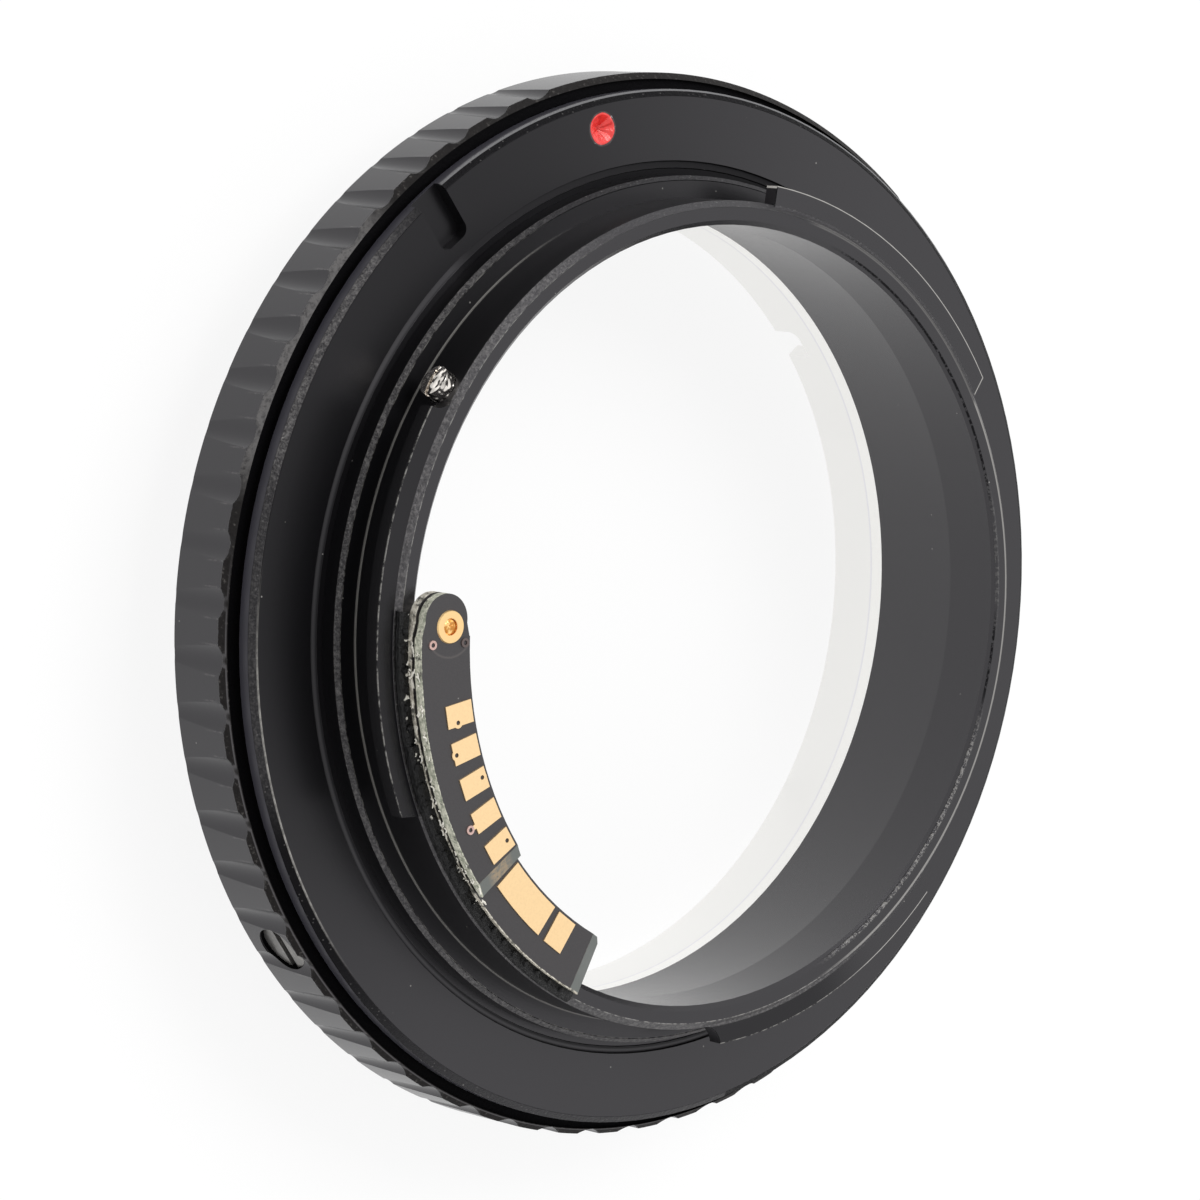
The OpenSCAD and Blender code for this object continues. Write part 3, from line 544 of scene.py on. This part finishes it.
def nickel(name, tint=(0.72, 0.69, 0.64), rough=0.24, dent=0.08, per_mm=3.5, detail=3.0):
    """Plated screw metal with small dents."""
    f = Finish(name)
    dents = f.noise(per_mm, detail, 0.7)
    colour = f.mix(f.rise(dents, 0.35, 0.7), tint, tuple(0.55 * c for c in tint))
    return f.set(Base_Color=colour, Roughness=rough, Normal=f.bump(dents, dent, 0.8), Metallic=1.0)


def red_enamel():
    """Glossy red paint with streaks to the dimple's point, thin and dark at the front dot's rim."""
    f = Finish("red_enamel")
    side = f.x - DOT_AT
    wavy_reach = f.length(side, f.y) + f.noise(1.5) * 0.12
    bare = f.rise(wavy_reach, 1.0, 1.06) * f.rise(f.z, FLANGE_FACE - 2.0, FLANGE_FACE - 1.5)
    streaks = f.sum("SINE", f.sum("ARCTAN2", f.y, side) * 7.0 + f.noise(0.9) * 6.0)
    colour = f.mix(f.noise(1.6, 2.0, 0.5), (0.62, 0.012, 0.012), (0.86, 0.05, 0.04))
    colour = f.mix(bare, colour, (0.02, 0.008, 0.008))
    relief = f.bump(streaks * 0.4 + f.noise(2.4, 2.0, 0.5), 0.12, 0.7)
    return f.set(Base_Color=colour, Roughness=0.2, Normal=relief, Coat_Weight=0.5, Coat_Roughness=0.08)


def board(name, top, mask_end, fibres, ground_end):
    """Fibre board: dark solder mask on top, glass fibre at the sides and the ground end."""
    f = Finish(name)
    fibre = f.noise(3.2, 4.0, 0.7)
    fine = f.noise(14.0, 2.0, 0.6)
    ragged = (fibre - 0.5) * 0.16
    up = f.facing_up()
    in_edge = f.fall(f.radius + ragged, BOARD_OUT - 0.08, BOARD_OUT - 0.03)
    in_end = f.fall(f.angle + ragged, mask_end - 0.06, mask_end + 0.06)
    masked = f.both(up, in_edge, in_end, f.rise(f.z, top - 0.12, top - 0.1))
    on_end = up * (1.0 - in_end)

    # Bare glass fibre at the sides, and the ground ramp at the end
    bare = f.mix(f.rise(fibre, 0.35, 0.65), *fibres)
    bare = f.mix(f.rise(f.noise(1.3, 3.0, 0.6), 0.56, 0.66), bare, (0.10, 0.10, 0.085))
    middle = f.band(f.radius, BOARD_IN + 0.9, BOARD_OUT - 1.1, 0.35)
    ground = f.mix(middle * f.rise(fibre, 0.3, 0.6), (0.105, 0.115, 0.108), ground_end)
    bare = f.mix(on_end * f.fall(f.radius, BOARD_OUT - 0.14, BOARD_OUT - 0.08), bare, ground)

    # Solder mask, with the copper track that shows through it beside the eyelet
    from_eyelet = f.length(f.x - EYELET_X, f.y - EYELET_Y)
    track = f.band(from_eyelet, 1.76, 1.88, 0.05) * f.rise(f.angle, 77.5, 79.0)
    mask = f.mix(f.rise(fine, 0.3, 0.7), (0.028, 0.0255, 0.0275), (0.036, 0.033, 0.035))
    mask = f.mix(track * 0.35, mask, (0.11, 0.095, 0.09))
    mask = f.mix(f.specks(1.1, 0.05, 0.25) * 0.6, mask, PALE)

    smooth = f.either(masked, on_end)
    return f.set(
        Base_Color=f.mix(masked, bare, mask),
        Roughness=0.6 - smooth * 0.18,
        Normal=f.bump(fibre * (1.0 - smooth), 0.2, 0.9),
        IOR=1.5,
    )


def pale_bond():
    """Pale, uneven resin between the boards, with dark patches painted as the shade in the gap between them.
    """
    f = Finish("pale_bond")
    lumps = f.noise(1.4, 4.0, 0.7)
    # Painted shade: near black where the lumps are low
    colour = f.mix(f.rise(lumps, 0.42, 0.6), (0.012, 0.012, 0.011), (0.42, 0.41, 0.34))
    return f.set(Base_Color=colour, Roughness=0.5, Normal=f.bump(lumps, 0.2, 0.8))


def black_glue():
    """Glossy black resin with a wrinkled skin and small painted white glints."""
    f = Finish("black_glue")
    skin = f.noise(2.2, 4.0, 0.7)
    under_upper_board = f.fall(f.angle, 116.0, 124.0) * f.fall(f.radius, BOARD_OUT + 0.35, BOARD_OUT + 0.5)
    # Painted highlights: white glints in the colour, only below the upper board's end
    painted_glint = f.rise(f.noise(2.0, 1.5, 0.6), 0.63, 0.67) * under_upper_board
    colour = f.mix(painted_glint, (0.0025, 0.0025, 0.0028), (0.62, 0.60, 0.54))
    return f.set(Base_Color=colour, Roughness=0.1, Normal=f.bump(skin, 0.35, 0.9), IOR=1.33)


def pad_gold():
    """Gold plating with a faint grain."""
    f = Finish("pad_gold")
    grain = f.noise(6.0, 3.0, 0.6)
    colour = f.mix(f.rise(grain, 0.3, 0.8), (1.0, 0.72, 0.40), (0.93, 0.6696, 0.372))
    return f.set(Base_Color=colour, Roughness=0.36, Normal=f.bump(grain, 0.01, 0.4), Metallic=0.9)


def eyelet_gold():
    """Gold rim that darkens to bronze down the eyelet's hole."""
    f = Finish("eyelet_gold")
    grain = f.noise(5.0, 2.0, 0.6)
    deep = f.fall(f.z, UPPER_TOP - 0.2, UPPER_TOP + 0.06)
    colour = f.mix(deep, (1.0, 0.69, 0.33), (0.85, 0.42, 0.09))
    return f.set(Base_Color=colour, Roughness=0.3, Normal=f.bump(grain, 0.02, 0.4), Metallic=0.9)


def solder_bronze():
    """Orange-gold solder in the eyelet, with a lighter crumpled crest."""
    f = Finish("solder_bronze")
    crumple = f.noise(2.6, 3.0, 0.6)
    colour = f.mix(f.rise(crumple, 0.42, 0.62), (0.55, 0.22, 0.035), (1.0, 0.66, 0.26))
    return f.set(Base_Color=colour, Roughness=0.32, Normal=f.bump(crumple, 0.12, 0.7), Metallic=0.6)


def via_plating():
    """Pinkish plating of the small rings: bright, but dull on the inner ring beside the eyelet."""
    f = Finish("via_plating")
    grain = f.noise(6.0, 2.0, 0.6)
    dull = f.fall(f.radius, 22.3, 22.5) * f.fall(f.angle, 84.0, 85.0)
    colour = f.mix(f.rise(grain, 0.3, 0.7), (0.66, 0.46, 0.42), (0.50, 0.33, 0.29))
    colour = f.mix(dull, colour, (0.085, 0.062, 0.058))
    relief = f.bump(grain, 0.01, 0.4)
    return f.set(Base_Color=colour, Roughness=0.4, Normal=relief, Metallic=0.7 - dull * 0.7)


def frayed_glass():
    """Pale glass fibre where the boards' edge is frayed."""
    f = Finish("frayed_glass")
    colour = f.mix(f.noise(2.0, 2.0, 0.6), (0.55, 0.52, 0.44), (0.95, 0.93, 0.87))
    return f.set(Base_Color=colour, Roughness=0.35, Normal=f.bump(f.noise(9.0), 0.02, 0.5), IOR=1.5)


def turned_brass():
    """Bare turned metal of the hidden drive ring."""
    f = Finish("turned_brass")
    marks = f.turning_marks(6.0, 0.03, 9.0)
    colour = f.mix(marks, (0.52, 0.40, 0.18), (0.68, 0.54, 0.28))
    return f.set(Base_Color=colour, Roughness=0.34, Normal=f.bump(marks, 0.01, 0.5), Metallic=1.0)


def black_steel():
    """Blackened screw steel, rubbed down to grey."""
    f = Finish("black_steel")
    rubbed = f.noise(3.0, 3.0, 0.7)
    colour = f.mix(f.rise(rubbed, 0.45, 0.75), (0.17, 0.166, 0.16), (0.26, 0.25, 0.235))
    return f.set(Base_Color=colour, Roughness=0.32, Normal=f.bump(rubbed, 0.03, 0.4), Metallic=0.7)


def finish_nodes(grip_finish):
    """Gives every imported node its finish."""
    screws = nickel("screw_nickel")
    pads = pad_gold()
    steel = black_steel()
    enamel = red_enamel()
    lower_fibres = ((0.34, 0.31, 0.25), (0.82, 0.78, 0.68))
    lower_ground = (0.12, 0.128, 0.122)
    upper_fibres = ((0.27, 0.29, 0.22), (0.66, 0.65, 0.54))
    upper_ground = (0.27, 0.205, 0.13)
    finishes = {
        "mount_body": body_anodise(),
        "grip_ring": grip_finish,
        "lens_mount_ring": bright_plate(),
        "drive_ring": turned_brass(),
        "aperture_lever": nickel("lever_steel", (0.62, 0.61, 0.58), 0.3),
        "stop_screw": nickel("stop_screw_nickel", (1.0, 0.95, 0.89), 0.2, 0.34, 1.7, 1.0),
        "lower_board": board("lower_board_fibre", LOWER_TOP, LOWER_MASK_END, lower_fibres, lower_ground),
        "upper_board": board("upper_board_fibre", UPPER_TOP, UPPER_MASK_END, upper_fibres, upper_ground),
        "board_bond": pale_bond(),
        "glue_bead": black_glue(),
        "eyelet": eyelet_gold(),
        "via_rings": via_plating(),
        "index_dot": enamel,
        "lens_index_dot": enamel,
        "lever_screw": screws,
        "wide_contact": pads,
        "end_contact": pads,
    }
    for i in range(1, 4):
        finishes[f"set_screw_{i}"] = steel
        finishes[f"mount_ring_screw_{i}"] = screws
    for i in range(1, 6):
        finishes[f"contact_{i}"] = pads
    for name, material in finishes.items():
        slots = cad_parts[name].data.materials
        slots.clear()
        slots.append(material)


# Pieces


class Pattern:
    """One geometry group, with short calls for the nodes that it is built from."""

    def __init__(self, name, sizes):
        self.tree = bpy.data.node_groups.new(name, "GeometryNodeTree")
        self.tree.is_modifier = True
        self.sizes = sizes
        sockets = self.tree.interface
        sockets.new_socket("Blank", in_out="INPUT", socket_type="NodeSocketGeometry")
        self.keys = {}
        for label, value in sizes.items():
            kind = "NodeSocketInt" if isinstance(value, int) else "NodeSocketFloat"
            self.keys[label] = sockets.new_socket(label, in_out="INPUT", socket_type=kind).identifier
        sockets.new_socket("Shape", in_out="OUTPUT", socket_type="NodeSocketGeometry")
        self.given = self.tree.nodes.new("NodeGroupInput").outputs

    def add(self, kind, feeds, output=0, **settings):
        """A node with its inputs fed by name or number; gives one of its outputs."""
        node = self.tree.nodes.new(kind)
        for label, value in settings.items():
            setattr(node, label, value)
        for key, value in feeds.items():
            for one in value if isinstance(value, list) else [value]:
                if isinstance(one, bpy.types.NodeSocket):
                    self.tree.links.new(one, node.inputs[key])
                else:
                    node.inputs[key].default_value = one
        return node.outputs[output]

    def sum(self, operation, a, b=0.0):
        """A sum of two values."""
        return self.add("ShaderNodeMath", {0: a, 1: b}, operation=operation)

    def join(self, x, y, z):
        """A vector from its three values."""
        return self.add("ShaderNodeCombineXYZ", {0: x, 1: y, 2: z})

    def on_circle(self, radius, angle, height):
        """The point at a radius, angle and height."""
        x = self.sum("MULTIPLY", radius, self.sum("COSINE", angle))
        y = self.sum("MULTIPLY", radius, self.sum("SINE", angle))
        return self.join(x, y, height)

    def chance(self, low, high, seed):
        """A random value for each point, from a fixed seed."""
        return self.add("FunctionNodeRandomValue", {2: low, 3: high, "Seed": seed}, output=1)

    def rod(self, radius, length):
        """A round rod along Z."""
        return self.add("GeometryNodeMeshCylinder", {"Vertices": 96, "Radius": radius, "Depth": length})

    def shift(self, shape, offset):
        """A shape moved by an offset."""
        return self.add("GeometryNodeTransform", {"Geometry": shape, "Translation": offset})

    def repeat(self, count, at, turn, shape, scale=(1.0, 1.0, 1.0)):
        """Copies of a shape at points, each turned, as real geometry."""
        points = self.add("GeometryNodePoints", {"Count": count, "Position": at})
        turned = self.add("FunctionNodeEulerToRotation", {0: turn})
        feeds = {"Points": points, "Instance": shape, "Rotation": turned, "Scale": scale}
        copies = self.add("GeometryNodeInstanceOnPoints", feeds)
        return self.add("GeometryNodeRealizeInstances", {0: copies})

    def finish(self, shape, material):
        """Ends the group: real geometry with its material."""
        real = self.add("GeometryNodeRealizeInstances", {0: shape})
        made = self.add("GeometryNodeSetMaterial", {"Geometry": real, "Material": material})
        output = self.tree.nodes.new("NodeGroupOutput")
        self.tree.links.new(made, output.inputs[0])

    def make(self, name, blank, body, crease):
        """Runs the group on a blank mesh and gives a plain piece that rides on a body."""
        maker = bpy.data.objects.new(name + "_maker", blank)
        bpy.context.scene.collection.objects.link(maker)
        modifier = maker.modifiers.new("pattern", "NODES")
        modifier.node_group = self.tree
        for label, value in self.sizes.items():
            modifier[self.keys[label]] = value
        bpy.context.view_layer.update()
        made = maker.evaluated_get(bpy.context.evaluated_depsgraph_get())
        mesh = bpy.data.meshes.new_from_object(made)
        maker.modifiers.clear()
        bpy.data.objects.remove(maker)
        mesh.shade_smooth()
        mesh.set_sharp_from_angle(angle=math.radians(crease))
        mesh.name = name
        piece = bpy.data.objects.new(name, mesh)
        bpy.context.scene.collection.objects.link(piece)
        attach(piece, body)
        return piece


def turned_ring(name, profile, steps):
    """A ring turned from a closed profile of radii and heights in millimetres, outside going up."""
    count = len(profile)
    points = []
    faces = []
    for i in range(steps):
        turn = 2 * math.pi * i / steps
        points += [(r * MM * math.cos(turn), r * MM * math.sin(turn), z * MM) for r, z in profile]
        here, there = i * count, (i + 1) % steps * count
        for j in range(count):
            after = (j + 1) % count
            faces.append((here + j, there + j, there + after, here + after))
    mesh = bpy.data.meshes.new(name)
    mesh.from_pydata(points, [], faces)
    return mesh


def fluted_grip(grip_finish):
    """The grip with its chamfered front edge and its flutes, left out where the real one is plain."""
    tall = GRIP_FRONT - GRIP_REAR
    overrun = 1.0
    sizes = {
        "Flutes": FLUTES - PLAIN_FLUTES,
        "Pitch": 2 * math.pi / FLUTES,
        "First flute": math.radians(FLUTE_START),
        "Flute radius": FLUTE_R * MM,
        "Cutter distance": (GRIP_R - FLUTE_DEPTH + FLUTE_R) * MM,
        "Lean": math.atan((FLUTE_DEPTH - FLUTE_REAR_DEPTH) / tall),
        "Front": GRIP_FRONT * MM,
        "Cutter length": (tall + overrun) * MM,
        "Screw holes": OPEN_SET_HOLES,
        "Screw angle": math.radians(SET_A),
        "Screw height": SET_Z * MM,
        "Screw hole radius": (SET_R + 0.02) * MM,
        "Drill length": 5.0 * MM,
        "Outside": GRIP_R * MM,
    }
    p = Pattern("flutes_and_screw_holes", sizes)
    given = p.given
    index = p.add("GeometryNodeInputIndex", {})

    turn = p.sum("ADD", given["First flute"], p.sum("MULTIPLY", index, given["Pitch"]))
    cutter = p.shift(p.rod(given["Flute radius"], given["Cutter length"]), p.join(0.0, 0.0, -0.5 * tall * MM))
    lean = p.join(0.0, p.sum("MULTIPLY", given["Lean"], -1.0), turn)
    at = p.on_circle(given["Cutter distance"], turn, given["Front"])
    flutes = p.repeat(given["Flutes"], at, lean, cutter)

    turn = p.sum("ADD", given["Screw angle"], p.sum("MULTIPLY", index, 2 * math.pi / SET_SCREWS))
    drill = p.rod(given["Screw hole radius"], given["Drill length"])
    at = p.on_circle(given["Outside"], turn, given["Screw height"])
    holes = p.repeat(given["Screw holes"], at, p.join(0.0, math.pi / 2, turn), drill)

    feeds = {0: given["Blank"], 1: [flutes, holes]}
    p.finish(p.add("GeometryNodeMeshBoolean", feeds, operation="DIFFERENCE", solver="EXACT"), grip_finish)
    blank = turned_ring("grip_blank", [
        (GRIP_IN_R, GRIP_REAR),
        (GRIP_R - GRIP_REAR_BEVEL, GRIP_REAR),
        (GRIP_R, GRIP_REAR + GRIP_REAR_BEVEL),
        (GRIP_R, GRIP_FRONT - GRIP_CHAMFER),
        (GRIP_R - GRIP_CHAMFER, GRIP_FRONT),
        (GRIP_RIM_R, GRIP_FRONT),
        (GRIP_RIM_R, GRIP_RECESS_Z),
        (GRIP_IN_R, GRIP_RECESS_Z),
    ], 480)
    grip = p.make("fluted_grip", blank, "grip", 14.0)
    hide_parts("grip_ring")


def frayed_edge():
    """Short glass fibres that stand out of the boards' edge, in the glue."""
    sizes = {
        "Fibres": 90,
        "Start": math.radians(77.0),
        "End": math.radians(118.0),
        "Edge": BOARD_OUT * MM,
        "Foot": (NECK_TOP + 0.12) * MM,
        "Head": (UPPER_TOP - 0.1) * MM,
        "Length": 0.34 * MM,
        "Thickness": 0.05 * MM,
    }
    p = Pattern("frayed_fibres", sizes)
    given = p.given
    turn = p.chance(given["Start"], given["End"], 3)
    reach = p.sum("ADD", given["Edge"], p.chance(0.0, 0.12 * MM, 5))
    at = p.on_circle(reach, turn, p.chance(given["Foot"], given["Head"], 8))
    half = p.sum("MULTIPLY", given["Length"], 0.5)
    thread = p.add("GeometryNodeCurveQuadraticBezier", {
        "Resolution": 6,
        "Start": p.join(p.sum("MULTIPLY", half, -1.0), 0.0, 0.0),
        "Middle": p.join(0.0, p.sum("MULTIPLY", half, 0.9), 0.0),
        "End": p.join(half, 0.0, 0.0),
    })
    round_feeds = {"Resolution": 6, "Radius": given["Thickness"]}
    section = p.add("GeometryNodeCurvePrimitiveCircle", round_feeds, mode="RADIUS")
    fibre_feeds = {"Curve": thread, "Profile Curve": section, "Fill Caps": True}
    fibre = p.add("GeometryNodeCurveToMesh", fibre_feeds)
    spin = p.sum("ADD", turn, p.chance(1.0, 2.2, 13))
    tilt = p.join(p.chance(-0.8, 0.8, 11), p.chance(-0.6, 0.6, 12), spin)
    p.finish(p.repeat(given["Fibres"], at, tilt, fibre, p.chance(0.5, 1.3, 21)), frayed_glass())
    p.make("frayed_fibres", bpy.data.meshes.new("no_blank"), "body", 40.0)


def eyelet_solder():
    """A crumpled bead of solder that closes the eyelet just below its rim."""
    bead_r = 0.485
    bead_half = 0.12
    crumple = 0.05
    crumples_per_radius = 2.3
    noise_at = Vector((4.0, 1.0, 7.0))
    middle = Vector((EYELET_X, EYELET_Y, UPPER_TOP - 0.08))
    solid = bmesh.new()
    bmesh.ops.create_uvsphere(solid, u_segments=48, v_segments=24, radius=1.0)
    for vertex in solid.verts:
        x, y, z = vertex.co
        lift = crumple * noise.noise(vertex.co * crumples_per_radius + noise_at)
        vertex.co = (middle + Vector((x * bead_r, y * bead_r, z * bead_half + lift))) * MM
    mesh = bpy.data.meshes.new("eyelet_solder")
    solid.to_mesh(mesh)
    solid.free()
    mesh.shade_smooth()
    mesh.materials.append(solder_bronze())
    piece = bpy.data.objects.new("eyelet_solder", mesh)
    bpy.context.scene.collection.objects.link(piece)
    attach(piece, "body")


# Studio


def studio_white():
    """White that takes a soft shadow and reads as white in the view and in reflections."""
    material = bpy.data.materials.new("studio_white")
    material.use_nodes = True
    nodes, links = material.node_tree.nodes, material.node_tree.links
    nodes.clear()
    paint = nodes.new("ShaderNodeBsdfDiffuse")
    paint.inputs["Color"].default_value = (0.86, 0.86, 0.86, 1)
    glow = nodes.new("ShaderNodeEmission")
    glow.inputs["Color"].default_value = (1, 1, 1, 1)
    glow.inputs["Strength"].default_value = 1.0
    ray = nodes.new("ShaderNodeLightPath").outputs
    seen = ray["Is Camera Ray"]
    for other in ("Is Glossy Ray", "Is Transmission Ray"):
        node = nodes.new("ShaderNodeMath")
        node.operation = "MAXIMUM"
        links.new(seen, node.inputs[0])
        links.new(ray[other], node.inputs[1])
        seen = node.outputs[0]
    share = nodes.new("ShaderNodeMath")
    share.operation = "MULTIPLY"
    share.inputs[1].default_value = 0.86
    links.new(seen, share.inputs[0])
    mix = nodes.new("ShaderNodeMixShader")
    links.new(share.outputs[0], mix.inputs[0])
    links.new(paint.outputs[0], mix.inputs[1])
    links.new(glow.outputs[0], mix.inputs[2])
    output = nodes.new("ShaderNodeOutputMaterial")
    links.new(mix.outputs[0], output.inputs["Surface"])
    return material


def studio_floor():
    """A wide white floor under the part."""
    half = 3.0
    corners = [(-half, -half, 0), (half, -half, 0), (half, half, 0), (-half, half, 0)]
    mesh = bpy.data.meshes.new("studio_floor")
    mesh.from_pydata(corners, [], [(0, 1, 2, 3)])
    mesh.materials.append(studio_white())
    floor = bpy.data.objects.new("studio_floor", mesh)
    bpy.context.scene.collection.objects.link(floor)


def studio_light():
    """An even pale room and one wide soft lamp."""
    world = bpy.data.worlds.new("pale_room")
    world.use_nodes = True
    background = world.node_tree.nodes["Background"]
    background.inputs["Color"].default_value = (1.0, 1.0, 1.0, 1)
    background.inputs["Strength"].default_value = 0.92
    bpy.context.scene.world = world
    lamp = bpy.data.lights.new("soft_lamp", "AREA")
    lamp.shape, lamp.size, lamp.size_y, lamp.energy = "RECTANGLE", 0.5, 0.35, 3.0
    place = bpy.data.objects.new("soft_lamp", lamp)
    place.location = (0.35, -0.25, 0.6)
    place.rotation_euler = (-Vector(place.location)).to_track_quat("-Z", "Y").to_euler()
    bpy.context.scene.collection.objects.link(place)


def photo_camera():
    """The camera at the photograph's place and angle."""
    right = Vector((-0.126777, -0.740956, 0.659486))
    up = Vector((0.963676, -0.249585, -0.095154))
    back = Vector((0.235109, 0.623468, 0.745670))
    place = Vector((74.82, 198.31, 241.87)) * MM
    data = bpy.data.cameras.new("photo_camera")
    data.lens, data.sensor_width, data.sensor_fit = 150.0, 36.0, "HORIZONTAL"
    data.clip_start, data.clip_end = 0.02, 20.0
    camera = bpy.data.objects.new("photo_camera", data)
    camera.matrix_world = Matrix.Translation(place) @ Matrix((right, up, back)).transposed().to_4x4()
    bpy.context.scene.collection.objects.link(camera)
    bpy.context.scene.camera = camera


grip_finish = grip_anodise()
finish_nodes(grip_finish)
fluted_grip(grip_finish)
frayed_edge()
eyelet_solder()
studio_floor()
studio_light()
photo_camera()
bpy.context.scene.view_settings.view_transform = "Standard"
